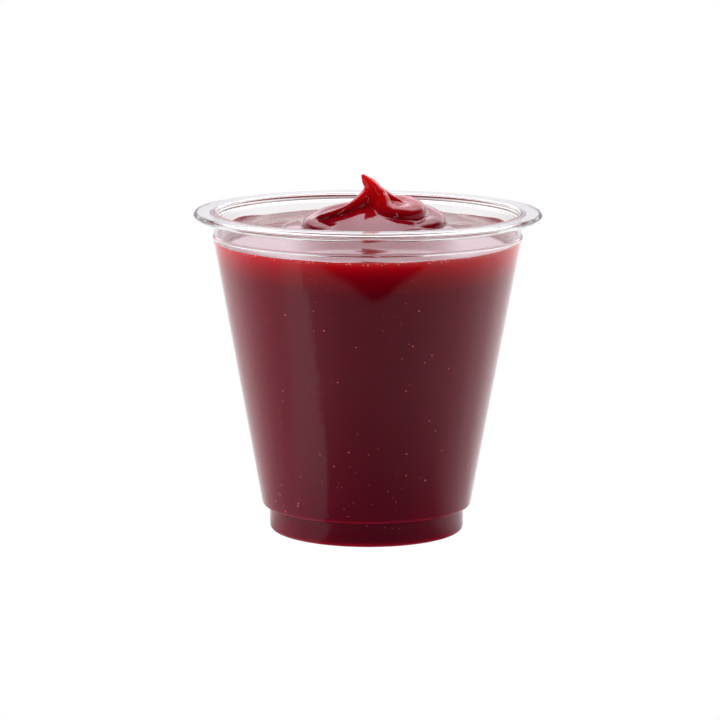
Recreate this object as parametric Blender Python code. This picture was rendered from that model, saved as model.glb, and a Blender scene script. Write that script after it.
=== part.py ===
"""Dessert pot: a clear stepped plastic cup filled with a set red gel, finished with a swirl and a hooked peak.

Metres, +Z up. The origin is the centre of the cup's foot, and the cup's front faces -Y. Two solids: the pot,
one moulded shell turned about Z, and the dessert, one body that fills it.
"""

import math

import bmesh
import bpy
from mathutils import Vector

MM = 0.001

# The cup, in millimetres
RIM_RADIUS = 37.5
HEIGHT = 69.3
FLANGE_THICKNESS = 1.45
NECK_RADIUS = 32.95
NECK_BOTTOM = 64.6
BEAD_RADIUS = 33.3
BEAD_HEIGHT = 63.7
STEP_RADIUS = 22.62
STEP_HEIGHT = 5.5
FOOT_RADIUS_TOP = 21.15
FOOT_RADIUS = 20.95
LEDGE_HEIGHT = 5.2
RECESS_DEPTH = 0.8
RECESS_RADIUS = 17.4
RECESS_SLOPE = 0.8
WALL = 0.5
SMALLEST_FILLET = 0.15
TURN_STEPS = 56
SMOOTH_UNDER_DEGREES = 50

# The filling: its surface is a plane that leans towards the front
GAP = 0.3
SURFACE_HEIGHT = 64.2
SURFACE_SLOPE = 0.0483
SIDE_TOP = 62.0
SIDE_ROWS = 4
MENISCUS_RISE = 0.45
MENISCUS_REACH = 0.9
MENISCUS_ROWS = (0.5, 1.2, 2.2, 4.0)

# The swirl, about its own axis, which stands behind the cup's axis
SWIRL_X = 1.7
SWIRL_Y = 4.5
DOME_LEAN_X = -0.01
DOME_LEAN_Y = 0.065
# The dome under the strands: distance from the swirl's axis, and rise over the filling's surface
DOME = (
    (0.0, 6.5),
    (4.5, 6.1),
    (6.5, 4.8),
    (8.0, 4.3),
    (10.0, 3.75),
    (12.0, 3.2),
    (13.2, 2.8),
    (14.2, 2.2),
    (15.1, 1.4),
    (16.2, -0.1),
    (16.8, -1.2),
    (16.0, -2.5),
    (0.0, -2.5),
)
# Stations along the two turned strands: angle about the swirl's axis in degrees from +X, distance from
# it, height of the crest, and half width of the strand
RIDGE = (
    (-50, 11.0, 67.0, 0.8),
    (-30, 11.9, 67.4, 1.9),
    (-5, 12.7, 68.1, 2.8),
    (20, 13.0, 68.9, 3.4),
    (50, 12.3, 69.5, 3.5),
    (90, 11.5, 69.7, 3.5),
    (130, 11.3, 69.2, 3.3),
    (165, 11.8, 68.3, 3.0),
    (195, 12.2, 67.6, 2.6),
    (225, 12.4, 66.7, 2.2),
    (260, 12.2, 66.1, 1.5),
)
LOBE = (
    (160, 7.0, 69.5, 2.0),
    (110, 7.2, 70.4, 3.0),
    (70, 7.6, 71.2, 3.2),
    (40, 7.9, 71.5, 3.2),
    (15, 7.9, 71.3, 3.0),
    (-10, 7.7, 70.8, 2.8),
    (-30, 7.4, 70.5, 2.7),
    (-51, 6.3, 70.5, 2.5),
    (-70, 5.0, 70.7, 2.4),
    (-89, 3.6, 70.9, 2.2),
)
TURN_FLATNESS = 0.68
# Stations along the tail, from its end on the ridge up to the tip: x, y, z and radius of the strand
TAIL = (
    (-10.8, -0.35, 67.8, 0.5),
    (-10.0, -0.45, 67.95, 0.75),
    (-8.6, -0.5, 68.2, 0.95),
    (-6.2, -0.2, 68.75, 1.2),
    (-3.6, 0.8, 69.6, 1.5),
    (-1.2, 2.4, 70.8, 1.9),
    (0.5, 3.6, 72.2, 2.1),
    (0.9, 4.1, 73.5, 1.9),
    (0.4, 4.1, 74.6, 1.5),
    (-0.4, 4.0, 75.5, 1.1),
    (-0.85, 3.9, 76.1, 0.75),
    (-1.1, 3.85, 76.5, 0.5),
)
# Stations along the rib that runs from the peak down to the right, and tucks into the lobe
RIB = (
    (0.2, 4.0, 74.9, 0.9),
    (1.9, 4.3, 73.4, 1.15),
    (3.2, 4.4, 72.4, 1.2),
    (4.4, 4.4, 71.5, 1.2),
    (5.6, 4.2, 71.0, 1.1),
    (6.7, 3.9, 70.6, 0.9),
    (7.5, 3.5, 70.2, 0.6),
)
# Stations down the front of the peak, from the tip to the lobe: one steep face
FRONT = (
    (-0.3, 3.5, 75.6, 0.75),
    (0.5, 3.0, 74.6, 1.2),
    (0.9, 2.5, 73.4, 1.6),
    (1.3, 2.0, 71.8, 2.0),
    (1.6, 1.5, 70.0, 2.3),
    (1.8, 1.2, 68.0, 2.5),
)
# Stations of the sheet that fills the fold between the rib and the lobe
WEB = (
    (2.6, 2.3, 69.5, 1.7),
    (4.2, 2.2, 69.3, 1.8),
    (5.8, 2.0, 69.2, 1.8),
    (7.4, 1.9, 69.0, 1.7),
    (8.6, 2.0, 68.8, 1.4),
)
STRAND_SIDES = 4
STRAND_STEPS = 4
ROUND_END_DEGREES = (30, 60, 85)
SWIRL_VOXEL = 0.4
SWIRL_SMOOTHING = 0.5
SWIRL_SMOOTHING_ROUNDS = 6
SWIRL_KEPT_SHARE = 0.13


def make_material(name, colour, roughness, transmission, ior):
    """A Principled BSDF in one colour."""
    material = bpy.data.materials.new(name)
    material.use_nodes = True
    shader = material.node_tree.nodes["Principled BSDF"]
    shader.inputs["Base Color"].default_value = (*colour, 1.0)
    shader.inputs["Roughness"].default_value = roughness
    shader.inputs["Metallic"].default_value = 0.0
    shader.inputs["Transmission Weight"].default_value = transmission
    shader.inputs["IOR"].default_value = ior
    return material


def cup_corners():
    """Corners (r, z, fillet radius, steps) of the cup's outer side, from the axis to the top of the neck."""
    return [
        (0.0, RECESS_DEPTH, 0.0, 0),
        (RECESS_RADIUS, RECESS_DEPTH, 0.0, 0),
        (RECESS_RADIUS + RECESS_SLOPE, 0.0, 0.0, 0),
        (FOOT_RADIUS, 0.0, 0.85, 3),
        (FOOT_RADIUS_TOP, LEDGE_HEIGHT, 0.35, 1),
        (STEP_RADIUS, STEP_HEIGHT, 0.9, 3),
        (BEAD_RADIUS, BEAD_HEIGHT, 0.5, 3),
        (NECK_RADIUS, NECK_BOTTOM, 0.4, 1),
        (NECK_RADIUS, HEIGHT - FLANGE_THICKNESS, 1.0, 3),
    ]


def line_crossing(a, b, c, d):
    """Where the line through a and b crosses the line through c and d."""
    ab, cd, ac = b - a, d - c, c - a
    return a + ab * (ac.cross(cd) / ab.cross(cd))


def inset(corners, distance):
    """The same corners moved inwards by one distance, with each fillet's radius changed to match."""
    points = [Vector((r, z)) for r, z, _, _ in corners]
    sides = []
    for a, b in zip(points, points[1:]):
        along = (b - a).normalized()
        inwards = Vector((-along.y, along.x)) * distance
        sides.append((a + inwards, b + inwards))
    moved = [Vector((0.0, sides[0][0].y))]
    for before, after in zip(sides, sides[1:]):
        moved.append(line_crossing(*before, *after))
    moved.append(sides[-1][1])
    result = []
    for index, (point, (_, _, radius, steps)) in enumerate(zip(moved, corners)):
        if 0 < index < len(points) - 1:
            before = points[index] - points[index - 1]
            after = points[index + 1] - points[index]
            turns_left = before.cross(after) > 0
            radius = max(radius - distance, SMALLEST_FILLET) if turns_left else radius + distance
        result.append((point.x, point.y, radius, steps))
    return result


def bare_side(distance):
    """Corners of the cup's side without its flange, moved inwards by a distance."""
    return inset(cup_corners()[:-1] + [(NECK_RADIUS, HEIGHT, 0.0, 0)], distance)


def rounded(corners):
    """Points along the corners, with each corner that has a fillet replaced by an arc."""
    points = [Vector((r, z)) for r, z, _, _ in corners]
    outline = []
    for index, (_, _, radius, steps) in enumerate(corners):
        corner = points[index]
        if not steps or index in (0, len(points) - 1):
            outline.append(corner)
            continue
        before = (points[index - 1] - corner).normalized()
        after = (points[index + 1] - corner).normalized()
        half_angle = before.angle(after) / 2
        start = corner + before * radius / math.tan(half_angle)
        end = corner + after * radius / math.tan(half_angle)
        centre = corner + (before + after).normalized() * radius / math.sin(half_angle)
        sweep = math.pi - 2 * half_angle
        for step in range(steps + 1):
            share = step / steps
            near_start = math.sin((1 - share) * sweep) / math.sin(sweep)
            near_end = math.sin(share * sweep) / math.sin(sweep)
            outline.append(centre + (start - centre) * near_start + (end - centre) * near_end)
    return [(point.x, point.y) for point in outline]


def cup_outline():
    """The cup's closed half section, from the axis up the outer side, over the flange and down the inner side."""
    flange_bottom = HEIGHT - FLANGE_THICKNESS
    outer = cup_corners() + [
        (RIM_RADIUS, flange_bottom, 0.6, 3),
        (RIM_RADIUS, HEIGHT, 0.5, 3),
        (NECK_RADIUS - WALL, HEIGHT, 0.45, 2),
    ]
    inner = bare_side(WALL)
    inner[-1] = (NECK_RADIUS - WALL, flange_bottom, 0.0, 0)
    return rounded(outer + inner[::-1])


def filling_side():
    """The filling's outer side, from the axis to above its surface, a gap away from the cup's inner side."""
    return rounded(bare_side(WALL + GAP))


def radius_at(outline, height):
    """The radius of an outline where it passes a height."""
    for (r0, z0), (r1, z1) in zip(outline, outline[1:]):
        if z0 <= height <= z1 and z1 > z0:
            return r0 + (r1 - r0) * (height - z0) / (z1 - z0)
    return outline[-1][0]


def add_ring(mesh, points):
    return [mesh.verts.new(Vector(point) * MM) for point in points]


def bridge(mesh, lower, upper):
    """Quads between two rings of points, or triangles where one of them is a single point."""
    count = max(len(lower), len(upper))
    for index in range(count):
        following = (index + 1) % count
        corners = [lower[index % len(lower)], lower[following % len(lower)]]
        corners += [upper[following % len(upper)], upper[index % len(upper)]]
        mesh.faces.new(list(dict.fromkeys(corners)))


def circle(radius, height):
    if radius < 1e-6:
        return [(0.0, 0.0, height)]
    turns = [2 * math.pi * step / TURN_STEPS for step in range(TURN_STEPS)]
    return [(radius * math.cos(turn), radius * math.sin(turn), height) for turn in turns]


def make_object(name, mesh, material):
    """A scene object from a bmesh, shaded smooth with sharp edges where it turns a corner."""
    bmesh.ops.recalc_face_normals(mesh, faces=mesh.faces)
    data = bpy.data.meshes.new(name)
    mesh.to_mesh(data)
    mesh.free()
    data.shade_smooth()
    data.set_sharp_from_angle(angle=math.radians(SMOOTH_UNDER_DEGREES))
    data.materials.append(material)
    piece = bpy.data.objects.new(name, data)
    bpy.context.scene.collection.objects.link(piece)
    return piece


def make_pot(material):
    """The cup: its half section turned about Z."""
    mesh = bmesh.new()
    rings = [add_ring(mesh, circle(r, z)) for r, z in cup_outline()]
    for lower, upper in zip(rings, rings[1:]):
        bridge(mesh, lower, upper)
    return make_object("pot", mesh, material)


def surface_height(y):
    """Height of the filling's surface away from the wall."""
    return SURFACE_HEIGHT + SURFACE_SLOPE * y


def make_filling(material):
    """The filling: a body with the cup's inner form, and a leaning surface that climbs a little at the wall."""
    mesh = bmesh.new()
    side = filling_side()
    rings = [add_ring(mesh, circle(r, z)) for r, z in side if z < SIDE_TOP]
    turns = [2 * math.pi * step / TURN_STEPS for step in range(TURN_STEPS)]
    edge = []
    for turn in turns:
        wall = radius_at(side, SURFACE_HEIGHT)
        height = SURFACE_HEIGHT + SURFACE_SLOPE * wall * math.sin(turn) + MENISCUS_RISE
        edge.append((radius_at(side, height), height))
    for row in range(1, SIDE_ROWS + 1):
        ring = []
        for turn, (_, top) in zip(turns, edge):
            height = SIDE_TOP + (top - SIDE_TOP) * row / SIDE_ROWS
            radius = radius_at(side, height)
            ring.append((radius * math.cos(turn), radius * math.sin(turn), height))
        rings.append(add_ring(mesh, ring))
    for inwards in MENISCUS_ROWS:
        climb = MENISCUS_RISE * math.exp(-inwards / MENISCUS_REACH)
        ring = []
        for turn, (wall, _) in zip(turns, edge):
            x = (wall - inwards) * math.cos(turn)
            y = (wall - inwards) * math.sin(turn)
            ring.append((x, y, surface_height(y) + climb))
        rings.append(add_ring(mesh, ring))
    rings.append(add_ring(mesh, [(0.0, 0.0, surface_height(0.0))]))
    for lower, upper in zip(rings, rings[1:]):
        bridge(mesh, lower, upper)
    return make_object("dessert", mesh, material)


def make_dome():
    """The low dome that carries the strands: its profile turned about the swirl's axis, leaning like the surface."""
    mesh = bmesh.new()
    rings = [add_ring(mesh, circle(r, rise)) for r, rise in DOME]
    for lower, upper in zip(rings, rings[1:]):
        bridge(mesh, lower, upper)
    for vertex in mesh.verts:
        x, y, rise = vertex.co / MM
        height = surface_height(y + SWIRL_Y) + DOME_LEAN_X * x + DOME_LEAN_Y * y + rise
        vertex.co = Vector((x + SWIRL_X, y + SWIRL_Y, height)) * MM
    bmesh.ops.recalc_face_normals(mesh, faces=mesh.faces)
    return mesh


def round_end(last, before):
    """Stations that close a strand with a half ball beyond its last one."""
    radius = last[3]
    end = Vector(last[:3])
    along = (end - Vector(before[:3])).normalized()
    closing = []
    for degrees in ROUND_END_DEGREES:
        turn = math.radians(degrees)
        closing.append((*(end + along * radius * math.sin(turn)), radius * math.cos(turn)))
    return closing


def make_strand(stations, flatness=1.0):
    """A strand through its stations as a closed mesh. Flatness is its height over its width."""
    stations = list(stations)
    start = round_end(stations[0], stations[1])[::-1]
    stations = start + stations + round_end(stations[-1], stations[-2])
    curve = bpy.data.curves.new("strand", "CURVE")
    curve.dimensions = "3D"
    curve.bevel_depth = MM
    curve.bevel_resolution = STRAND_SIDES
    curve.resolution_u = STRAND_STEPS
    curve.use_fill_caps = True
    spline = curve.splines.new("BEZIER")
    spline.bezier_points.add(len(stations) - 1)
    spline.radius_interpolation = "CARDINAL"
    for point, (x, y, z, radius) in zip(spline.bezier_points, stations):
        point.co = Vector((x, y, z / flatness)) * MM
        point.radius = radius
        point.handle_left_type = "AUTO"
        point.handle_right_type = "AUTO"
    guide = bpy.data.objects.new("strand", curve)
    bpy.context.scene.collection.objects.link(guide)
    graph = bpy.context.evaluated_depsgraph_get()
    data = bpy.data.meshes.new_from_object(guide.evaluated_get(graph))
    bpy.data.objects.remove(guide)
    mesh = bmesh.new()
    mesh.from_mesh(data)
    bpy.data.meshes.remove(data)
    bmesh.ops.scale(mesh, vec=(1.0, 1.0, flatness), verts=mesh.verts)
    bmesh.ops.remove_doubles(mesh, verts=mesh.verts, dist=1e-6)
    bmesh.ops.recalc_face_normals(mesh, faces=mesh.faces)
    return mesh


def turned(stations):
    """A turned strand's stations as x, y, z of its middle and its half width."""
    middles = []
    for angle, distance, crest, half_width in stations:
        turn = math.radians(angle)
        x = SWIRL_X + distance * math.cos(turn)
        y = SWIRL_Y + distance * math.sin(turn)
        middles.append((x, y, crest - TURN_FLATNESS * half_width, half_width))
    return middles


def applied(piece):
    """Replaces an object's mesh by what its modifiers make of it."""
    graph = bpy.context.evaluated_depsgraph_get()
    data = bpy.data.meshes.new_from_object(piece.evaluated_get(graph))
    piece.modifiers.clear()
    piece.data = data


def make_swirl():
    """Dome and strands fused into one smooth body."""
    parts = [
        make_dome(),
        make_strand(turned(RIDGE), TURN_FLATNESS),
        make_strand(turned(LOBE), TURN_FLATNESS),
        make_strand(TAIL),
        make_strand(RIB),
        make_strand(FRONT),
        make_strand(WEB),
    ]
    together = bmesh.new()
    for part in parts:
        data = bpy.data.meshes.new("part")
        part.to_mesh(data)
        together.from_mesh(data)
        part.free()
        bpy.data.meshes.remove(data)
    data = bpy.data.meshes.new("swirl")
    together.to_mesh(data)
    together.free()
    swirl = bpy.data.objects.new("swirl", data)
    bpy.context.scene.collection.objects.link(swirl)
    fusing = swirl.modifiers.new("fuse", "REMESH")
    fusing.mode = "VOXEL"
    fusing.voxel_size = SWIRL_VOXEL * MM
    smoothing = swirl.modifiers.new("soften", "SMOOTH")
    smoothing.factor = SWIRL_SMOOTHING
    smoothing.iterations = SWIRL_SMOOTHING_ROUNDS
    thinning = swirl.modifiers.new("thin", "DECIMATE")
    thinning.ratio = SWIRL_KEPT_SHARE
    applied(swirl)
    return swirl


def join(body, other):
    """Joins another object to a body with a union, and removes the other."""
    union = body.modifiers.new("union", "BOOLEAN")
    union.operation = "UNION"
    union.object = other
    applied(body)
    body.data.shade_smooth()
    bpy.data.objects.remove(other)


def main():
    for old in list(bpy.data.objects):
        bpy.data.objects.remove(old)
    clear_plastic = make_material("clear_plastic", (0.97, 0.97, 0.97), 0.05, 1.0, 1.57)
    red_gel = make_material("red_gel", (0.22, 0.004, 0.01), 0.15, 0.0, 1.38)
    make_pot(clear_plastic)
    filling = make_filling(red_gel)
    join(filling, make_swirl())


main()
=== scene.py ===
"""Looks of the dessert pot: the clear cup and the red gel with its swirl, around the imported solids.

Metres, +Z up. The cup stands on z = 0, its axis is the Z axis, and its front faces -Y. Sizes below are in
millimetres. The cup's are the solid's, but for its ring, whose crest is 0.4 mm higher here, and the edge of
its flange, which leans in under its lip.
"""

import math
import random

import bmesh
import bpy
from mathutils import Matrix, Vector


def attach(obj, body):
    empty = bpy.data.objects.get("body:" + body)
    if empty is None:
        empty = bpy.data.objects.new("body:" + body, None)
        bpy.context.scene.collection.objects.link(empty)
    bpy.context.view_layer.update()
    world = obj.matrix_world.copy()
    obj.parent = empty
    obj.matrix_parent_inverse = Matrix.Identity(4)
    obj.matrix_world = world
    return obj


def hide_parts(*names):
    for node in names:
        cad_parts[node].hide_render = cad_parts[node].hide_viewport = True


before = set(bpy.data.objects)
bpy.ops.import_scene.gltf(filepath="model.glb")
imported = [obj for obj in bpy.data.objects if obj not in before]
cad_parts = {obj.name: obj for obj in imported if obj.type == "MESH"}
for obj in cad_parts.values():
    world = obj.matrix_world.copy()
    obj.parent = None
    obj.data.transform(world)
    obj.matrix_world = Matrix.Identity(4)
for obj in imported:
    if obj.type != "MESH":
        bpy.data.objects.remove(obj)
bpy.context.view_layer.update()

MM = 0.001
TINY = 1e-6

# The camera: a long lens in front of the pot and a little above its rim
CAMERA_PLACE = (-0.00157, -0.750, 0.1657)
CAMERA_PITCH = math.radians(9.75)
CAMERA_ROLL = math.radians(0.23)
LENS = 176.0
SENSOR = 36.0
CLIP_START = 0.01

# The cup
RIM_RADIUS = 37.5
HEIGHT = 69.3
FLANGE_THICKNESS = 1.45
LIP_UNDERCUT = 0.75
LIP_CHAMFER_HEIGHT = 0.7
LIP_CHAMFER_DEPTH = 0.5
NECK_RADIUS = 32.95
NECK_BOTTOM = 64.45
BEAD_RADIUS = 33.3
BEAD_HEIGHT = 64.1
STEP_RADIUS = 22.62
STEP_HEIGHT = 5.5
FOOT_RADIUS_TOP = 21.15
FOOT_RADIUS = 20.95
LEDGE_HEIGHT = 5.2
RECESS_DEPTH = 0.8
RECESS_RADIUS = 17.4
RECESS_SLOPE = 0.8
WALL = 0.5
RECESS_FILLET = 0.3
HEEL_FILLET = 0.85
LEDGE_FILLET = 0.35
STEP_FILLET = 0.9
BEAD_FILLET = 0.3
NECK_FILLET = 0.2
FLANGE_FILLET = 1.0
LIP_BOTTOM_FILLET = 0.35
LIP_FILLET = 0.3
MOUTH_FILLET = 0.45
SMALLEST_FILLET = 0.15
TURN_STEPS = 240
ARC_STEPS = 8
# Extra rings this near the ends of straight stretches keep the shading of a fillet off them
SUPPORT = 0.08
SMOOTH_UNDER_DEGREES = 40

# The gel: it reaches this far into the wall, so that no air shows between them
GEL_REACH = 0.15
SURFACE_HEIGHT = 64.2
SURFACE_SLOPE = 0.0483
# The surface rises gently towards the swirl: distance from the swirl's axis, and rise
SKIRT = (
    (0.0, 0.5),
    (14.5, 0.5),
    (17.0, 0.3),
    (20.0, 0.13),
    (24.0, 0.03),
    (28.0, 0.0),
    (32.0, 0.0),
    (60.0, 0.0),
)
# The same in front of the swirl, where the surface leans more, with a shallow dent across it
SKIRT_FRONT = (
    (0.0, 2.6),
    (14.5, 2.6),
    (16.5, 2.28),
    (20.5, 1.62),
    (22.5, 1.33),
    (24.5, 1.04),
    (26.0, 0.81),
    (27.2, 0.73),
    (28.4, 0.73),
    (30.5, 0.55),
    (33.0, 0.3),
    (36.3, 0.0),
    (39.0, 0.0),
    (60.0, 0.0),
)
# Between these distances from the swirl's axis the front's form sets in: from the side, and from behind
FRONT_FROM_SIDE = (20.0, 7.0)
FRONT_FROM_BEHIND = (20.0, 0.0)
# At the sides and the back the surface is a little higher in its middle than at the wall
CROWN = 0.3
# The gel's side has the cup's own rings up to this height, and even rows from there up to its edge
SIDE_TOP = 60.0
SIDE_ROWS = 12
# A climb at the wall falls off over this distance. Rows of points on the surface, by distance from the wall
MENISCUS_REACH = 0.9
MENISCUS_ROWS = (
    (0.3, 0.5, 0.8, 1.2, 1.7, 2.4, 3.2, 4.2, 5.4, 6.8, 8.2, 9.6, 11.0, 12.5, 14.0)
    + (15.5, 17.0, 18.5, 20.0, 21.5, 23.0, 25.0, 28.0)
)
# How far the gel climbs the wall, by the angle about the cup's axis in degrees from +X
WALL_CLIMB = (
    (0, -0.1),
    (28, 0.8),
    (42, 0.3),
    (55, 0.0),
    (90, -0.05),
    (130, 0.0),
    (150, 0.75),
    (164, 0.1),
    (178, -0.55),
    (200, -0.5),
    (215, -0.3),
    (230, -0.1),
    (250, 0.05),
    (270, 0.1),
    (320, -0.1),
    (360, -0.1),
)

# The swirl, about its own axis, which stands behind the cup's axis
SWIRL_X = 1.7
SWIRL_Y = 4.5
DOME_STRETCH_Y = 1.06
DOME_LEAN_X = -0.02
# Between these shares of the way to the front, the dome's form changes from the side's to the front's
DOME_FRONT_EDGES = (0.5, 0.85)
# The dome under the strands, as it is at the sides and at the front: distance from the swirl's axis, and
# rise over the gel's leaning plane
DOME_SIDE = (
    (0.0, 4.6),
    (4.5, 4.4),
    (6.5, 4.15),
    (8.0, 3.95),
    (10.0, 3.6),
    (11.5, 3.2),
    (13.0, 2.4),
    (14.2, 1.8),
    (15.3, 1.3),
    (16.5, 0.85),
    (17.7, 0.6),
    (19.0, 0.4),
    (20.0, 0.2),
    (20.8, -0.6),
    (19.5, -2.5),
    (0.0, -2.5),
)
DOME_FRONT = (
    (0.0, 5.7),
    (4.5, 5.45),
    (6.1, 5.1),
    (7.5, 4.66),
    (9.0, 4.18),
    (10.4, 3.74),
    (11.8, 3.34),
    (13.7, 2.82),
    (15.6, 2.36),
    (17.5, 1.97),
    (19.3, 1.64),
    (20.3, 1.42),
    (21.2, 1.0),
    (21.6, -0.6),
    (20.0, -2.5),
    (0.0, -2.5),
)
# Stations along the two turned strands: angle about the swirl's axis in degrees from +X, distance from
# it, height of the crest, and half width of the strand
RIDGE = (
    (-52, 12.3, 66.5, 1.2),
    (-30, 12.3, 67.5, 2.3),
    (-5, 12.2, 68.1, 2.9),
    (20, 12.4, 68.9, 3.2),
    (50, 12.2, 69.5, 3.4),
    (90, 11.5, 69.7, 3.5),
    (130, 11.5, 69.2, 3.3),
    (160, 12.4, 68.4, 3.0),
    (185, 13.4, 67.9, 2.6),
    (205, 14.0, 67.5, 2.4),
    (220, 14.4, 67.0, 2.3),
    (236, 14.7, 66.2, 1.6),
)
LOBE = (
    (160, 7.0, 69.5, 2.0),
    (110, 7.2, 70.4, 3.0),
    (70, 7.6, 71.2, 3.2),
    (40, 7.9, 71.5, 3.2),
    (15, 7.9, 71.3, 3.0),
    (-10, 7.9, 70.8, 3.0),
    (-30, 7.8, 70.5, 3.1),
    (-48, 7.2, 70.5, 3.1),
    (-60, 6.0, 70.8, 2.8),
    (-66, 4.6, 71.6, 2.3),
    (-64, 3.2, 72.8, 1.6),
)
TURN_FLATNESS = 0.68
# Under each turned strand lies a second one, this much lower and wider, so that its sides spread to a foot
FOOT_DROP = 1.2
FOOT_WIDENING = 0.4
# Stations along the tail, from its end on the ridge up to the tip: x, y, z and radius of the strand
TAIL = (
    (-10.8, -0.35, 67.8, 0.5),
    (-10.0, -0.45, 67.95, 0.75),
    (-8.6, -0.5, 68.2, 0.95),
    (-6.2, -0.2, 68.75, 1.2),
    (-3.6, 0.8, 69.6, 1.5),
    (-1.2, 2.4, 70.8, 1.9),
    (0.5, 3.6, 72.2, 2.1),
    (0.9, 4.1, 73.5, 1.9),
    (0.4, 4.1, 74.6, 1.5),
    (-0.4, 4.0, 75.5, 1.1),
    (-0.85, 3.9, 76.1, 0.75),
    (-1.1, 3.85, 76.5, 0.5),
)
# Stations along the rib that runs from the peak down to the right, and tucks into the lobe
RIB = (
    (0.2, 4.0, 74.8, 1.0),
    (1.9, 4.3, 73.2, 1.35),
    (3.2, 4.4, 72.2, 1.4),
    (4.4, 4.4, 71.3, 1.4),
    (5.6, 4.2, 70.8, 1.3),
    (6.7, 3.9, 70.4, 1.1),
    (7.5, 3.5, 70.0, 0.8),
)
# Stations down the front of the peak, from the tip to the lobe: one steep face
FRONT = (
    (-0.3, 3.5, 75.6, 0.75),
    (0.6, 3.2, 74.6, 1.2),
    (1.3, 3.0, 73.3, 1.8),
    (1.9, 2.9, 71.8, 2.5),
    (1.9, 3.0, 70.0, 3.2),
    (1.5, 3.2, 68.5, 3.6),
)
# Stations of the sheet that fills the fold between the rib and the lobe
WEB = (
    (2.6, 2.3, 69.5, 1.7),
    (4.2, 2.2, 69.3, 1.8),
    (5.8, 2.0, 69.2, 1.8),
    (7.4, 1.9, 69.0, 1.7),
    (8.6, 2.0, 68.8, 1.4),
)
STRAND_SIDES = 6
STRAND_STEPS = 8
ROUND_END_DEGREES = (30, 60, 85)
# The strands are fused in cells of this size, and their joins are then smoothed
SWIRL_VOXEL = 0.28
SWIRL_SMOOTHING = 0.5
SWIRL_SMOOTHING_ROUNDS = 10

# Froth along the gel's edge: sizes are radii, rises are over the edge, and sunk is a share of the radius
BUBBLE_SEED = 5
BUBBLES = 260
BUBBLE_SIZES = (0.05, 0.15)
BUBBLE_RISES = (-0.5, 0.12)
BUBBLE_SUNK = 0.3
BALL_STEPS = 2
# Pale specks in the gel behind the wall
SPECK_SEED = 11
SPECKS = 420
SPECK_HEIGHTS = (3.0, 62.0)
SPECK_SIZES = (0.10, 0.25)
SPECK_SIZE_POWER = 3
SPECK_FLATNESS = 0.5

# Finishes, by the names of the shader's sockets
CLEAR_PLASTIC = {
    "Base Color": (0.97, 0.97, 0.972, 1.0),
    "Roughness": 0.02,
    "IOR": 1.57,
    "Transmission Weight": 1.0,
}
# What the plastic lets straight through, in shadows and soft light
PLASTIC_CLEARNESS = (0.96, 0.96, 0.96, 1.0)
GEL_TOP = {
    "Roughness": 0.07,
    "IOR": 1.38,
    "Subsurface Weight": 0.6,
    "Subsurface Radius": (1.0, 0.15, 0.15),
    "Subsurface Scale": 1.2 * MM,
}
GEL_SIDE = {
    "Roughness": 0.5,
    "IOR": 1.38,
    "Specular IOR Level": 0.0,
    "Subsurface Weight": 1.0,
    "Subsurface Radius": (1.0, 0.08, 0.08),
}
# The gel's colours up its open surface and the swirl: range of heights, and stops of height and colour
# The red grows brighter with height: painted light, for the light that shines through the thin peak
TOP_RANGE = (62.0, 78.0)
TOP_RED_AND_PAINTED_GLOW = (
    (62.0, (0.24, 0.002, 0.012)),
    (67.0, (0.25, 0.002, 0.012)),
    (69.0, (0.35, 0.001, 0.008)),
    (71.0, (0.47, 0.001, 0.004)),
    (73.0, (0.70, 0.003, 0.005)),
    (76.0, (1.0, 0.012, 0.014)),
)
# Its colours at the wall, from the foot up to the edge, by height less the slope of the surface
# They hold painted light: darker towards the foot, a bright band a few mm under the surface where light comes
# in from the top, and a paler painted highlight at the very edge
SIDE_RANGE = (0.0, 66.0)
SIDE_RED_AND_PAINTED_LIGHT = (
    (0.0, (0.24, 0.003, 0.026)),
    (SURFACE_HEIGHT - 10.0, (0.28, 0.003, 0.026)),
    (SURFACE_HEIGHT - 7.0, (0.30, 0.002, 0.020)),
    (SURFACE_HEIGHT - 4.2, (0.49, 0.0016, 0.018)),
    (SURFACE_HEIGHT - 2.6, (0.58, 0.0016, 0.018)),
    (SURFACE_HEIGHT - 1.2, (0.60, 0.006, 0.026)),
    (SURFACE_HEIGHT - 0.5, (0.54, 0.040, 0.050)),
    (SURFACE_HEIGHT, (0.48, 0.085, 0.095)),
    (SURFACE_HEIGHT + 0.4, (0.48, 0.110, 0.120)),
)
# How deep light goes into it there
SIDE_DEPTHS = (
    (0.0, (3.0 * MM,) * 3),
    (SURFACE_HEIGHT - 6.0, (3.0 * MM,) * 3),
    (SURFACE_HEIGHT - 1.0, (9.0 * MM,) * 3),
)
# The painted bright band under the surface fades a little higher up at the left than at the right
PAINTED_BAND_LEAN = 0.02
# Froth and specks: their common values, and the colour and the strength of the painted glow of each, which
# stands in for light from the gel around them
PALE = {"Roughness": 0.5, "Specular IOR Level": 0.0}
FROTH_AND_PAINTED_GLOW = ((0.85, 0.36, 0.40), 0.3)
SPECK_AND_PAINTED_GLOW = ((0.75, 0.08, 0.11), 0.22)

# Light in the gloss: the dark part of the room is around this direction. Stops are how far a ray goes along
# it, and the light there
DARK_MIDDLE = (0.0, -0.75, 0.66)
GLOSS_LIGHT = (
    (-0.66, 0.7),
    (-0.62, 0.8),
    (-0.60, 1.1),
    (-0.58, 1.9),
    (-0.55, 2.2),
    (-0.47, 1.7),
    (-0.30, 1.45),
    (-0.20, 1.8),
    (-0.06, 3.1),
    (0.08, 2.9),
    (0.20, 2.2),
    (0.28, 1.2),
    (0.36, 0.0),
)
# Towards the sides, between these shares of that direction, it turns to other strengths: one at the horizon
# and one above, between these heights
ABOVE = (0.0, 0.0, 1.0)
ASIDE = ((1.0, 0.0, 0.0), (-1.0, 0.0, 0.0))
ASIDE_EDGES = (0.4, 0.7)
ASIDE_HEIGHTS = (0.15, 0.35)
ASIDE_GLOSS = (0.6, 0.0)
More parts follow.
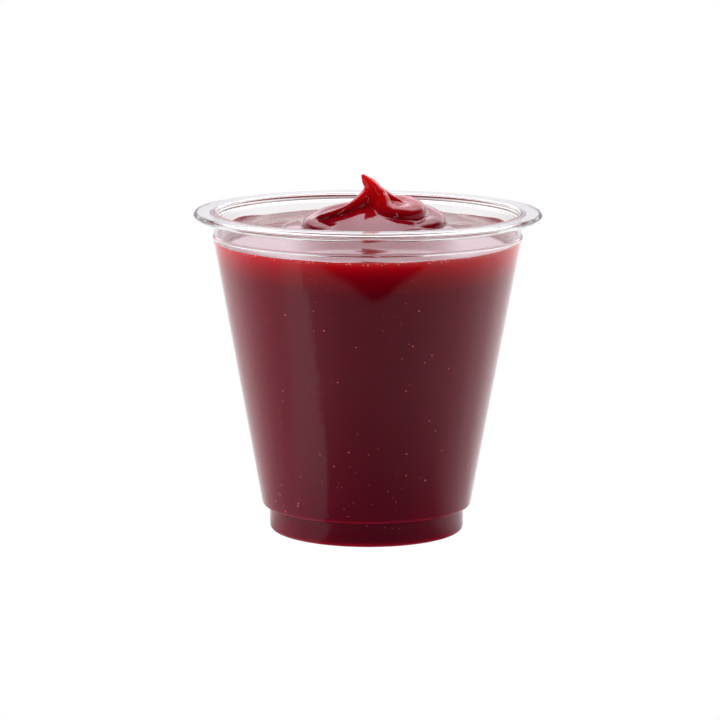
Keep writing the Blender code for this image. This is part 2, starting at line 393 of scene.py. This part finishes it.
# A narrow strip of light in front and above: across it and along it, by shares of these directions
STRIP_SIDES = ((1.0, 0.12, 0.0), (-1.0, -0.12, 0.0))
STRIP_EDGES = (0.02, 0.05)
STRIP_ALONG = (0.0, -0.77, 0.64)
STRIP_LENGTH = (0.90, 0.96)
STRIP_GLOSS = 4.0
GLOSS_TINT = (1.0, 0.95, 1.03, 1.0)
WHITE = (1.0, 1.0, 1.0, 1.0)
# What clear plastic bends into view gets darker from the back to the front
THROUGH_FROM = (0.0, 1.0, 0.0)
THROUGH_EDGES = (-0.4, 0.3)
THROUGH_DARK = 0.1
THROUGH_BRIGHT = 1.6
# Soft light: where it comes from, between which shares of that direction it grows, and its strengths there
SOFT_FROM = (-0.18, 0.984, 0.0)
SOFT_EDGES = (-0.9, 0.45)
SOFT_LIGHT = (0.1, 1.6)
LIGHT_BOUNCES = 8

# The table's shine in the gloss. Angles are from the front, negative to the left; distances are in mm
SHINE_REACH = 400.0
SHINE_RING = 2.5
SHINE_LEFT = 60
SHINE_RIGHT = 80
SHINE_HEIGHT = -0.2
# The edge between its left and right parts, the edge of the cup's painted shadow: distance and angle, with a
# blur in degrees
PAINTED_SHADOW_BLUR = 3.0
PAINTED_SHADOW_EDGE = ((36, -32.5), (56, -34.5), (93, -39.5), (122, -43.0), (141, -46.0), (300, -60.0))
# Its brightness by angle, left and right of that edge; the low values right of it in front are the cup's
# painted shadow
GLOW_LEFT = (
    (-180, 1.15),
    (-150, 1.05),
    (-120, 0.97),
    (-105, 0.75),
    (-89, 0.52),
    (-81, 0.46),
    (-73, 0.41),
    (-66, 0.46),
    (-60, 0.60),
    (-48, 0.66),
    (-30, 0.62),
)
GLOW_RIGHT = (
    (-46, 0.36),
    (-36, 0.30),
    (-29, 0.265),
    (-17, 0.21),
    (5, 0.185),
    (33, 0.25),
    (50, 0.33),
    (70, 0.44),
    (85, 0.60),
    (94, 0.77),
    (105, 0.85),
    (121, 1.2),
    (150, 1.4),
    (180, 1.5),
)
# It is darker near the cup, a painted shadow of the cup, by distance, though not beyond these angles to
# either side
PAINTED_SHADOW_NEAR_RIGHT = ((30, 0.25), (57, 0.62), (92, 1.0))
PAINTED_SHADOW_NEAR_LEFT = ((30, 0.5), (57, 0.83), (92, 1.0))
GLOW_ASIDE = ((55.0, 0.0), (75.0, 1.0))
# Where the shine ends in front: X and Y
FRONT_END = (
    (-200, -85.0),
    (-150, -105.0),
    (-87, -123.7),
    (-61, -130.0),
    (-33, -134.2),
    (-7, -130.8),
    (9, -127.7),
    (28, -127.8),
    (52, -127.5),
    (72, -123.8),
    (97, -115.0),
    (150, -97.0),
    (200, -79.0),
)
FRONT_BLUR = 2.2
# The floor goes this far to each side
FLOOR_REACH = 6000.0


# ---------------------------------------------------------------- shapes


def cup_corners():
    """Corners (r, z, fillet radius, steps) of the cup's outer side, from the axis to the top of the neck."""
    return [
        (0.0, RECESS_DEPTH, 0.0, 0),
        (RECESS_RADIUS, RECESS_DEPTH, RECESS_FILLET, ARC_STEPS),
        (RECESS_RADIUS + RECESS_SLOPE, 0.0, RECESS_FILLET, ARC_STEPS),
        (FOOT_RADIUS, 0.0, HEEL_FILLET, ARC_STEPS),
        (FOOT_RADIUS_TOP, LEDGE_HEIGHT, LEDGE_FILLET, ARC_STEPS),
        (STEP_RADIUS, STEP_HEIGHT, STEP_FILLET, ARC_STEPS),
        (BEAD_RADIUS, BEAD_HEIGHT, BEAD_FILLET, ARC_STEPS),
        (NECK_RADIUS, NECK_BOTTOM, NECK_FILLET, ARC_STEPS),
        (NECK_RADIUS, HEIGHT - FLANGE_THICKNESS, FLANGE_FILLET, ARC_STEPS),
    ]


def line_crossing(a, b, c, d):
    """Where the line through a and b crosses the line through c and d."""
    ab, cd, ac = b - a, d - c, c - a
    return a + ab * (ac.cross(cd) / ab.cross(cd))


def inset(corners, distance):
    """The same corners moved inwards by one distance, with each fillet's radius changed to match."""
    points = [Vector((r, z)) for r, z, _, _ in corners]
    sides = []
    for a, b in zip(points, points[1:]):
        along = (b - a).normalized()
        inwards = Vector((-along.y, along.x)) * distance
        sides.append((a + inwards, b + inwards))
    moved = [Vector((0.0, sides[0][0].y))]
    for before, after in zip(sides, sides[1:]):
        moved.append(line_crossing(*before, *after))
    moved.append(sides[-1][1])
    result = []
    for index, (point, (_, _, radius, steps)) in enumerate(zip(moved, corners)):
        if 0 < index < len(points) - 1:
            before = points[index] - points[index - 1]
            after = points[index + 1] - points[index]
            turns_left = before.cross(after) > 0
            radius = max(radius - distance, SMALLEST_FILLET) if turns_left else radius + distance
        result.append((point.x, point.y, radius, steps))
    return result


def bare_side(distance):
    """Corners of the cup's side without its flange, moved inwards by a distance."""
    return inset(cup_corners()[:-1] + [(NECK_RADIUS, HEIGHT, 0.0, 0)], distance)


def rounded(corners):
    """Points along the corners, with each corner that has a fillet replaced by an arc."""
    points = [Vector((r, z)) for r, z, _, _ in corners]
    outline = []
    for index, (_, _, radius, steps) in enumerate(corners):
        corner = points[index]
        if not steps or index in (0, len(points) - 1):
            outline.append(corner)
            continue
        before = (points[index - 1] - corner).normalized()
        after = (points[index + 1] - corner).normalized()
        half_angle = before.angle(after) / 2
        start = corner + before * radius / math.tan(half_angle)
        end = corner + after * radius / math.tan(half_angle)
        centre = corner + (before + after).normalized() * radius / math.sin(half_angle)
        sweep = math.pi - 2 * half_angle
        for step in range(steps + 1):
            share = step / steps
            near_start = math.sin((1 - share) * sweep) / math.sin(sweep)
            near_end = math.sin(share * sweep) / math.sin(sweep)
            outline.append(centre + (start - centre) * near_start + (end - centre) * near_end)
    firm = [outline[0]]
    for before, after in zip(outline, outline[1:]):
        along = after - before
        if along.length > 4 * SUPPORT:
            along.normalize()
            firm += [before + along * SUPPORT, after - along * SUPPORT]
        firm.append(after)
    return [(point.x, point.y) for point in firm]


def cup_outline():
    """The cup's closed half section: from the axis up outside, over the flange and down inside."""
    flange_bottom = HEIGHT - FLANGE_THICKNESS
    outer = cup_corners() + [
        (RIM_RADIUS - LIP_UNDERCUT, flange_bottom, LIP_BOTTOM_FILLET, ARC_STEPS),
        (RIM_RADIUS, HEIGHT - LIP_CHAMFER_HEIGHT, LIP_FILLET, ARC_STEPS),
        (RIM_RADIUS - LIP_CHAMFER_DEPTH, HEIGHT, LIP_FILLET, ARC_STEPS),
        (NECK_RADIUS - WALL, HEIGHT, MOUTH_FILLET, ARC_STEPS),
    ]
    inner = bare_side(WALL)
    inner[-1] = (NECK_RADIUS - WALL, flange_bottom, 0.0, 0)
    return rounded(outer + inner[::-1])


def radius_at(outline, height):
    """The radius of an outline where it passes a height."""
    for (r0, z0), (r1, z1) in reversed(list(zip(outline, outline[1:]))):
        if z0 <= height <= z1 and z1 > z0:
            return r0 + (r1 - r0) * (height - z0) / (z1 - z0)
    return outline[-1][0]


def add_ring(mesh, points):
    """The points, in millimetres, as new vertices of a mesh."""
    return [mesh.verts.new(Vector(point) * MM) for point in points]


def bridge(mesh, lower, upper, material_index=0):
    """Quads between two rings of points, or triangles where one of them is a single point."""
    count = max(len(lower), len(upper))
    for index in range(count):
        following = (index + 1) % count
        corners = [lower[index % len(lower)], lower[following % len(lower)]]
        corners += [upper[following % len(upper)], upper[index % len(upper)]]
        face = mesh.faces.new(list(dict.fromkeys(corners)))
        face.material_index = material_index


def circle(radius, height):
    """Points round a circle about the Z axis, or a single one on the axis."""
    if radius < TINY:
        return [(0.0, 0.0, height)]
    turns = [2 * math.pi * step / TURN_STEPS for step in range(TURN_STEPS)]
    return [(radius * math.cos(turn), radius * math.sin(turn), height) for turn in turns]


def make_object(name, mesh, *materials):
    """A scene object from a bmesh, shaded smooth with sharp edges where it turns a corner."""
    bmesh.ops.recalc_face_normals(mesh, faces=mesh.faces)
    data = bpy.data.meshes.new(name)
    mesh.to_mesh(data)
    mesh.free()
    data.shade_smooth()
    data.set_sharp_from_angle(angle=math.radians(SMOOTH_UNDER_DEGREES))
    for material in materials:
        data.materials.append(material)
    piece = bpy.data.objects.new(name, data)
    bpy.context.scene.collection.objects.link(piece)
    return piece


def make_pot_shell(material):
    """The cup: its half section turned about Z in fine steps."""
    mesh = bmesh.new()
    rings = [add_ring(mesh, circle(r, z)) for r, z in cup_outline()]
    for lower, upper in zip(rings, rings[1:]):
        bridge(mesh, lower, upper)
    shell = make_object("pot_shell", mesh, material)
    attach(shell, "root")
    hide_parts("pot")


def surface_height(y):
    """Height of the leaning plane that the gel's surface follows."""
    return SURFACE_HEIGHT + SURFACE_SLOPE * y


def smooth_through(stops, place):
    """The value at a place on a smooth curve through stops."""
    for index in range(1, len(stops) - 2):
        if stops[index][0] <= place <= stops[index + 1][0]:
            (r0, h0), (r1, h1), (r2, h2), (r3, h3) = stops[index - 1:index + 3]
            span = r2 - r1
            share = (place - r1) / span
            leave = (h2 - h0) / (r2 - r0) * span
            arrive = (h3 - h1) / (r3 - r1) * span
            value = h1 * (1 + 2 * share) * (1 - share) ** 2 + h2 * (3 - 2 * share) * share ** 2
            return value + leave * share * (1 - share) ** 2 - arrive * share ** 2 * (1 - share)
    return stops[0][1] if place < stops[1][0] else stops[-1][1]


def eased(value, low, high):
    """A smooth way from 0 at low to 1 at high."""
    share = min(max((value - low) / (high - low), 0.0), 1.0)
    return share * share * (3 - 2 * share)


def surface_rise(x, y):
    """Rise of the gel's surface over that plane: a low crown with a skirt, and another form at the front."""
    distance = math.hypot(x - SWIRL_X, y - SWIRL_Y)
    crown = CROWN * max(1.0 - (x * x + y * y) / NECK_RADIUS**2, 0.0)
    rise = crown + smooth_through(SKIRT, distance)
    share = eased(abs(x - SWIRL_X), *FRONT_FROM_SIDE) * eased(y - SWIRL_Y, *FRONT_FROM_BEHIND)
    return rise + (smooth_through(SKIRT_FRONT, max(SWIRL_Y - y, 0.0)) - rise) * share


def wall_climb(turn):
    """How far the gel climbs the wall at an angle about the cup's axis."""
    degrees = math.degrees(turn) % 360
    spans = zip(WALL_CLIMB, WALL_CLIMB[1:])
    (before, low), (after, high) = next(span for span in spans if degrees <= span[1][0])
    return low + (high - low) * eased(degrees, before, after)


def make_filling(top_material, side_material):
    """The gel in the cup: a body with the cup's inner form, and a leaning surface that climbs at the wall."""
    mesh = bmesh.new()
    side = rounded(bare_side(WALL - GEL_REACH))
    rings = [add_ring(mesh, circle(r, z)) for r, z in side if z < SIDE_TOP]
    turns = [2 * math.pi * step / TURN_STEPS for step in range(TURN_STEPS)]
    wall = radius_at(side, SURFACE_HEIGHT)
    edge = []
    for turn in turns:
        x = wall * math.cos(turn)
        y = wall * math.sin(turn)
        height = surface_height(y) + surface_rise(x, y) + wall_climb(turn)
        edge.append((radius_at(side, height), height))
    for row in range(1, SIDE_ROWS + 1):
        ring = []
        for turn, (_, top) in zip(turns, edge):
            height = SIDE_TOP + (top - SIDE_TOP) * row / SIDE_ROWS
            radius = radius_at(side, height)
            ring.append((radius * math.cos(turn), radius * math.sin(turn), height))
        rings.append(add_ring(mesh, ring))
    against_wall = len(rings) - 1
    for inwards in MENISCUS_ROWS:
        ring = []
        for turn, (wall, top) in zip(turns, edge):
            x = (wall - inwards) * math.cos(turn)
            y = (wall - inwards) * math.sin(turn)
            climb = wall_climb(turn) * math.exp(-(inwards - GEL_REACH) / MENISCUS_REACH)
            ring.append((x, y, surface_height(y) + surface_rise(x, y) + climb))
        rings.append(add_ring(mesh, ring))
    rings.append(add_ring(mesh, [(0.0, 0.0, surface_height(0.0) + surface_rise(0.0, 0.0))]))
    for index, (lower, upper) in enumerate(zip(rings, rings[1:])):
        bridge(mesh, lower, upper, 1 if index < against_wall else 0)
    return make_object("gel", mesh, top_material, side_material)


def make_dome():
    """The low dome that carries the strands, turned about the swirl's axis and leaning like the surface."""
    mesh = bmesh.new()
    rings = []
    for side, front in zip(DOME_SIDE, DOME_FRONT):
        points = []
        for step in range(TURN_STEPS):
            turn = 2 * math.pi * step / TURN_STEPS
            share = eased(-math.sin(turn), *DOME_FRONT_EDGES)
            distance = side[0] + (front[0] - side[0]) * share
            x = distance * math.cos(turn)
            y = distance * math.sin(turn) * DOME_STRETCH_Y
            rise = side[1] + (front[1] - side[1]) * share + DOME_LEAN_X * x
            points.append((x + SWIRL_X, y + SWIRL_Y, surface_height(y + SWIRL_Y) + rise))
        rings.append(add_ring(mesh, points))
    for lower, upper in zip(rings, rings[1:]):
        bridge(mesh, lower, upper)
    bmesh.ops.remove_doubles(mesh, verts=mesh.verts, dist=TINY)
    bmesh.ops.recalc_face_normals(mesh, faces=mesh.faces)
    return mesh


def round_end(last, before):
    """Stations that close a strand with a half ball beyond its last one."""
    radius = last[3]
    end = Vector(last[:3])
    along = (end - Vector(before[:3])).normalized()
    closing = []
    for degrees in ROUND_END_DEGREES:
        turn = math.radians(degrees)
        closing.append((*(end + along * radius * math.sin(turn)), radius * math.cos(turn)))
    return closing


def make_strand(stations, flatness=1.0):
    """A strand through its stations as a closed mesh. Flatness is its height over its width."""
    stations = list(stations)
    start = round_end(stations[0], stations[1])[::-1]
    stations = start + stations + round_end(stations[-1], stations[-2])
    curve = bpy.data.curves.new("strand", "CURVE")
    curve.dimensions = "3D"
    curve.bevel_depth = MM
    curve.bevel_resolution = STRAND_SIDES
    curve.resolution_u = STRAND_STEPS
    curve.use_fill_caps = True
    spline = curve.splines.new("BEZIER")
    spline.bezier_points.add(len(stations) - 1)
    spline.radius_interpolation = "CARDINAL"
    for point, (x, y, z, radius) in zip(spline.bezier_points, stations):
        point.co = Vector((x, y, z / flatness)) * MM
        point.radius = radius
        point.handle_left_type = "AUTO"
        point.handle_right_type = "AUTO"
    guide = bpy.data.objects.new("strand", curve)
    bpy.context.scene.collection.objects.link(guide)
    graph = bpy.context.evaluated_depsgraph_get()
    data = bpy.data.meshes.new_from_object(guide.evaluated_get(graph))
    bpy.data.objects.remove(guide)
    mesh = bmesh.new()
    mesh.from_mesh(data)
    bpy.data.meshes.remove(data)
    bmesh.ops.scale(mesh, vec=(1.0, 1.0, flatness), verts=mesh.verts)
    bmesh.ops.remove_doubles(mesh, verts=mesh.verts, dist=TINY)
    bmesh.ops.recalc_face_normals(mesh, faces=mesh.faces)
    return mesh


def turned(stations, drop=0.0, widening=0.0):
    """A turned strand's stations as x, y, z of its middle and its half width."""
    middles = []
    for angle, distance, crest, half_width in stations:
        crest -= drop
        half_width += widening
        turn = math.radians(angle)
        x = SWIRL_X + distance * math.cos(turn)
        y = SWIRL_Y + distance * math.sin(turn)
        middles.append((x, y, crest - TURN_FLATNESS * half_width, half_width))
    return middles


def applied(piece):
    """Replaces an object's mesh by what its modifiers make of it."""
    graph = bpy.context.evaluated_depsgraph_get()
    data = bpy.data.meshes.new_from_object(piece.evaluated_get(graph))
    piece.modifiers.clear()
    piece.data = data


def make_swirl(material):
    """Dome and strands fused into one smooth body."""
    parts = [
        make_dome(),
        make_strand(turned(RIDGE), TURN_FLATNESS),
        make_strand(turned(LOBE), TURN_FLATNESS),
        make_strand(turned(RIDGE, FOOT_DROP, FOOT_WIDENING), TURN_FLATNESS),
        make_strand(turned(LOBE[:-3], FOOT_DROP, FOOT_WIDENING), TURN_FLATNESS),
        make_strand(TAIL),
        make_strand(RIB),
        make_strand(FRONT),
        make_strand(WEB),
    ]
    together = bmesh.new()
    for part in parts:
        data = bpy.data.meshes.new("part")
        part.to_mesh(data)
        together.from_mesh(data)
        part.free()
        bpy.data.meshes.remove(data)
    data = bpy.data.meshes.new("swirl")
    together.to_mesh(data)
    together.free()
    data.materials.append(material)
    swirl = bpy.data.objects.new("swirl", data)
    bpy.context.scene.collection.objects.link(swirl)
    fusing = swirl.modifiers.new("fuse", "REMESH")
    fusing.mode = "VOXEL"
    fusing.voxel_size = SWIRL_VOXEL * MM
    smoothing = swirl.modifiers.new("soften", "SMOOTH")
    smoothing.factor = SWIRL_SMOOTHING
    smoothing.iterations = SWIRL_SMOOTHING_ROUNDS
    applied(swirl)
    return swirl


def at_turn(radius, turn, height):
    """The move from the origin to a place at a radius and an angle about the cup's axis."""
    return Matrix.Translation(Vector((radius * math.cos(turn), radius * math.sin(turn), height)) * MM)


def make_bubbles(material):
    """The froth at the gel's edge: small balls along the line where its surface meets the wall."""
    draw = random.Random(BUBBLE_SEED)
    side = rounded(bare_side(WALL - GEL_REACH))
    wall = radius_at(side, SURFACE_HEIGHT)
    mesh = bmesh.new()
    for _ in range(BUBBLES):
        turn = draw.uniform(0.0, 2 * math.pi)
        size = draw.uniform(*BUBBLE_SIZES)
        height = surface_height(wall * math.sin(turn)) + wall_climb(turn) + draw.uniform(*BUBBLE_RISES)
        matrix = at_turn(radius_at(side, height) - size * BUBBLE_SUNK, turn, height)
        bmesh.ops.create_icosphere(mesh, subdivisions=BALL_STEPS, radius=size * MM, matrix=matrix)
    bubbles = make_object("bubbles", mesh, material)
    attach(bubbles, "root")


def make_specks(material):
    """Fine pale specks in the gel, close behind the wall: flat drops that lie along it."""
    draw = random.Random(SPECK_SEED)
    side = rounded(bare_side(WALL - GEL_REACH))
    smallest, largest = SPECK_SIZES
    flat = Matrix.Diagonal((SPECK_FLATNESS, 1, 1, 1))
    mesh = bmesh.new()
    for _ in range(SPECKS):
        turn = draw.uniform(0.0, 2 * math.pi)
        height = draw.uniform(*SPECK_HEIGHTS)
        size = smallest + (largest - smallest) * draw.random() ** SPECK_SIZE_POWER
        matrix = at_turn(radius_at(side, height), turn, height) @ Matrix.Rotation(turn, 4, "Z") @ flat
        bmesh.ops.create_icosphere(mesh, subdivisions=BALL_STEPS, radius=size * MM, matrix=matrix)
    specks = make_object("specks", mesh, material)
    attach(specks, "root")


def make_gel(top_material, side_material):
    """The gel with its swirl, as one body. Faces against the wall take the side material."""
    gel = make_filling(top_material, side_material)
    swirl = make_swirl(top_material)
    union = gel.modifiers.new("union", "BOOLEAN")
    union.operation = "UNION"
    union.object = swirl
    applied(gel)
    bpy.data.objects.remove(swirl)
    gel.data.shade_smooth()
    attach(gel, "root")
    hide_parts("dessert")


# ---------------------------------------------------------------- materials


def new_material(name, finish):
    """A material with the values of a finish, its node tree and its Principled BSDF."""
    material = bpy.data.materials.new(name)
    material.use_nodes = True
    tree = material.node_tree
    shader = tree.nodes["Principled BSDF"]
    for socket, value in finish.items():
        shader.inputs[socket].default_value = value
    return material, tree, shader


def new_glow(name):
    """A material that only glows, with its node tree and the glow's node."""
    material, tree, _ = new_material(name, {})
    glow = tree.nodes.new("ShaderNodeEmission")
    tree.links.new(glow.outputs["Emission"], tree.nodes["Material Output"].inputs["Surface"])
    return material, tree, glow


def height_over_plane(tree, slope, lean=0.0):
    """A socket with a point's height in mm over a plane through the origin that rises towards +Y and -X."""
    place = tree.nodes.new("ShaderNodeTexCoord")
    dot = tree.nodes.new("ShaderNodeVectorMath")
    dot.operation = "DOT_PRODUCT"
    dot.inputs[1].default_value = (lean / MM, -slope / MM, 1.0 / MM)
    tree.links.new(place.outputs["Object"], dot.inputs[0])
    return dot.outputs["Value"]


def ramp_over(tree, value, low, high, stops):
    """A colour ramp over a value between two limits. Stops are (value, colour)."""
    span = tree.nodes.new("ShaderNodeMapRange")
    span.inputs["From Min"].default_value = low
    span.inputs["From Max"].default_value = high
    tree.links.new(value, span.inputs["Value"])
    ramp = tree.nodes.new("ShaderNodeValToRGB")
    tree.links.new(span.outputs["Result"], ramp.inputs["Fac"])
    elements = ramp.color_ramp.elements
    while len(elements) < len(stops):
        elements.new(0.5)
    for element, (place, colour) in zip(elements, stops):
        element.position = (place - low) / (high - low)
        element.color = (*colour, 1.0)
    return ramp.outputs["Color"]


def make_clear_plastic():
    """Clear moulded plastic. Shadow rays and soft light pass straight through it."""
    material, tree, shader = new_material("clear_plastic", CLEAR_PLASTIC)
    path = tree.nodes.new("ShaderNodeLightPath")
    clear = tree.nodes.new("ShaderNodeBsdfTransparent")
    clear.inputs["Color"].default_value = PLASTIC_CLEARNESS
    surface = shader.outputs["BSDF"]
    for rays in ("Is Diffuse Ray", "Is Shadow Ray"):
        choice = tree.nodes.new("ShaderNodeMixShader")
        tree.links.new(path.outputs[rays], choice.inputs["Fac"])
        tree.links.new(surface, choice.inputs[1])
        tree.links.new(clear.outputs["BSDF"], choice.inputs[2])
        surface = choice.outputs["Shader"]
    tree.links.new(surface, tree.nodes["Material Output"].inputs["Surface"])
    return material


def make_gel_top():
    """The gel's open surface: wet, glossy and deep red, with painted light that makes it brighter up the thin
    peak.
    """
    material, tree, shader = new_material("gel_top", GEL_TOP)
    height = height_over_plane(tree, 0.0)
    tree.links.new(ramp_over(tree, height, *TOP_RANGE, TOP_RED_AND_PAINTED_GLOW), shader.inputs["Base Color"])
    return material


def make_gel_side():
    """The gel where it meets the wall: no gloss of its own, with painted light that makes it brightest just
    under its surface and darker towards the foot.
    """
    material, tree, shader = new_material("gel_side", GEL_SIDE)
    height = height_over_plane(tree, SURFACE_SLOPE, PAINTED_BAND_LEAN)
    tree.links.new(ramp_over(tree, height, *SIDE_RANGE, SIDE_RED_AND_PAINTED_LIGHT), shader.inputs["Base Color"])
    tree.links.new(ramp_over(tree, height, *SIDE_RANGE, SIDE_DEPTHS), shader.inputs["Subsurface Scale"])
    return material


def make_pale_with_painted_glow(name, colour, glow):
    """A plain pale finish for froth and specks, with a painted glow that stands in for light from the gel
    around them.
    """
    material, _, shader = new_material(name, PALE)
    shader.inputs["Base Color"].default_value = (*colour, 1.0)
    shader.inputs["Emission Color"].default_value = (*colour, 1.0)
    shader.inputs["Emission Strength"].default_value = glow
    return material


# ---------------------------------------------------------------- stage


def make_camera():
    """The camera, turned down to the pot and rolled a little."""
    data = bpy.data.cameras.new("camera")
    data.sensor_width = SENSOR
    data.lens = LENS
    data.clip_start = CLIP_START
    camera = bpy.data.objects.new("camera", data)
    bpy.context.scene.collection.objects.link(camera)
    forward = Vector((0.0, math.cos(CAMERA_PITCH), -math.sin(CAMERA_PITCH)))
    level_up = Vector((0.0, math.sin(CAMERA_PITCH), math.cos(CAMERA_PITCH)))
    level_right = Vector((1.0, 0.0, 0.0))
    right = level_right * math.cos(CAMERA_ROLL) + level_up * math.sin(CAMERA_ROLL)
    up = level_up * math.cos(CAMERA_ROLL) - level_right * math.sin(CAMERA_ROLL)
    turn = Matrix((right, up, -forward)).transposed().to_4x4()
    camera.matrix_world = Matrix.Translation(CAMERA_PLACE) @ turn
    bpy.context.scene.camera = camera


def make_world():
    """White to the eye. Soft light comes mostly from behind, and a little more from the left.

    In the gloss it is dark in front and above, and brightest high up behind.
    """
    world = bpy.data.worlds.new("studio")
    bpy.context.scene.world = world
    world.use_nodes = True
    tree = world.node_tree
    background = tree.nodes["Background"]
    place = tree.nodes.new("ShaderNodeTexCoord")
    path = tree.nodes.new("ShaderNodeLightPath")

    def feed(socket, value):
        """Gives a socket a number or a colour, or links another socket to it."""
        if isinstance(value, (float, tuple)):
            socket.default_value = value
        else:
            tree.links.new(value, socket)

    def along(direction):
        """How far a ray's direction goes along another one."""
        node = tree.nodes.new("ShaderNodeVectorMath")
        node.operation = "DOT_PRODUCT"
        node.inputs[1].default_value = direction
        tree.links.new(place.outputs["Generated"], node.inputs[0])
        return node.outputs["Value"]

    def between(value, low, high, from_value, to_value):
        """A smooth way from one value to another while a socket goes from low to high."""
        node = tree.nodes.new("ShaderNodeMapRange")
        node.interpolation_type = "SMOOTHSTEP"
        node.inputs["From Min"].default_value = low
        node.inputs["From Max"].default_value = high
        node.inputs["To Min"].default_value = from_value
        node.inputs["To Max"].default_value = to_value
        tree.links.new(value, node.inputs["Value"])
        return node.outputs["Result"]

    def combined(operation, first, second):
        """The result of a Math node."""
        node = tree.nodes.new("ShaderNodeMath")
        node.operation = operation
        feed(node.inputs[0], first)
        feed(node.inputs[1], second)
        return node.outputs["Value"]

    def mixed(share, first, second):
        """One value or colour, or another by a share of it. The second is a tuple for colours."""
        node = tree.nodes.new("ShaderNodeMix")
        node.data_type = "RGBA" if isinstance(second, tuple) else "FLOAT"
        sockets = [socket for socket in node.inputs if socket.enabled]
        for socket, value in zip(sockets, (share, first, second)):
            feed(socket, value)
        return next(socket for socket in node.outputs if socket.enabled)

    stops = [(share, (light,) * 3) for share, light in GLOSS_LIGHT]
    gloss = ramp_over(tree, along(DARK_MIDDLE), -1.0, 1.0, stops)
    beside = between(along(ABOVE), *ASIDE_HEIGHTS, *ASIDE_GLOSS)
    for side in ASIDE:
        gloss = mixed(between(along(side), *ASIDE_EDGES, 0.0, 1.0), gloss, beside)
    strip = between(along(STRIP_ALONG), *STRIP_LENGTH, 0.0, STRIP_GLOSS)
    for side in STRIP_SIDES:
        strip = combined("MULTIPLY", strip, between(along(side), *STRIP_EDGES, 1.0, 0.0))
    gloss = combined("ADD", gloss, strip)
    soft = between(along(SOFT_FROM), *SOFT_EDGES, *SOFT_LIGHT)
    through = combined("MINIMUM", combined("MAXIMUM", gloss, 1.0), THROUGH_BRIGHT)
    through = combined("MULTIPLY", through, between(along(THROUGH_FROM), *THROUGH_EDGES, THROUGH_DARK, 1.0))
    strength = mixed(path.outputs["Is Diffuse Ray"], 1.0, soft)
    strength = mixed(path.outputs["Is Glossy Ray"], strength, gloss)
    strength = mixed(path.outputs["Is Transmission Ray"], strength, through)
    feed(background.inputs["Strength"], strength)
    colour = mixed(path.outputs["Is Glossy Ray"], WHITE, GLOSS_TINT)
    feed(background.inputs["Color"], mixed(path.outputs["Is Transmission Ray"], colour, WHITE))


def along_stops(stops, place):
    """The value at a place along stops of (place, value)."""
    if place <= stops[0][0]:
        return stops[0][1]
    for (before, low), (after, high) in zip(stops, stops[1:]):
        if place <= after:
            return low + (high - low) * (place - before) / (after - before)
    return stops[-1][1]


def table_glow(degrees, distance):
    """How bright the table shines in the gloss, by angle from the front and distance from the cup in mm, with
    the cup's painted shadow darker in front and near it.
    """
    left = degrees <= along_stops(PAINTED_SHADOW_EDGE, distance)
    value = along_stops(GLOW_LEFT if left else GLOW_RIGHT, degrees)
    near = along_stops(PAINTED_SHADOW_NEAR_LEFT if left else PAINTED_SHADOW_NEAR_RIGHT, distance)
    value *= near + (1.0 - near) * along_stops(GLOW_ASIDE, abs(degrees))
    x = distance * math.sin(math.radians(degrees))
    y = -distance * math.cos(math.radians(degrees))
    end = along_stops(FRONT_END, x)
    return value * eased(y, end - FRONT_BLUR, end + FRONT_BLUR)


def make_table_shine():
    """What the table shows in the gloss: a disc just under the floor, which only reflections see, with the
    cup's shadow painted on it.
    """
    mesh = bmesh.new()
    rings = []
    values = []
    steps = int(SHINE_REACH / SHINE_RING)
    for row in range(1, steps + 1):
        distance = row * SHINE_RING
        edge = along_stops(PAINTED_SHADOW_EDGE, distance)
        right_edge = edge + PAINTED_SHADOW_BLUR
        turns = [-180.0 + (180.0 + edge) * step / SHINE_LEFT for step in range(SHINE_LEFT + 1)]
        turns += [right_edge + (180.0 - right_edge) * step / SHINE_RIGHT for step in range(SHINE_RIGHT)]
        ring = []
        for degrees in turns:
            angle = math.radians(degrees)
            ring.append((distance * math.sin(angle), -distance * math.cos(angle), SHINE_HEIGHT))
            values.append(table_glow(degrees, distance))
        rings.append(add_ring(mesh, ring))
    for lower, upper in zip(rings, rings[1:]):
        bridge(mesh, lower, upper)
    material, tree, glow = new_glow("table_shine")
    light = tree.nodes.new("ShaderNodeAttribute")
    light.attribute_name = "shine"
    tree.links.new(light.outputs["Fac"], glow.inputs["Strength"])
    disc = make_object("table_shine", mesh, material)
    shine = disc.data.attributes.new("shine", "FLOAT", "POINT")
    shine.data.foreach_set("value", values)
    disc.visible_camera = False
    disc.visible_diffuse = False
    disc.visible_transmission = False
    disc.visible_shadow = False


def make_floor():
    """A plain white floor, which doesn't show in the gloss."""
    mesh = bmesh.new()
    sides = ((-1, -1), (1, -1), (1, 1), (-1, 1))
    mesh.faces.new(add_ring(mesh, [(x * FLOOR_REACH, y * FLOOR_REACH, 0.0) for x, y in sides]))
    material, _, _ = new_glow("floor_white")
    floor = make_object("floor", mesh, material)
    floor.visible_glossy = False
    floor.visible_diffuse = False


bpy.context.scene.view_settings.view_transform = "Standard"
bpy.context.scene.cycles.max_bounces = LIGHT_BOUNCES
bpy.context.scene.cycles.glossy_bounces = LIGHT_BOUNCES
bpy.context.scene.cycles.transmission_bounces = LIGHT_BOUNCES
make_camera()
make_world()
make_floor()
make_table_shine()
make_pot_shell(make_clear_plastic())
make_gel(make_gel_top(), make_gel_side())
make_bubbles(make_pale_with_painted_glow("froth", *FROTH_AND_PAINTED_GLOW))
make_specks(make_pale_with_painted_glow("specks", *SPECK_AND_PAINTED_GLOW))
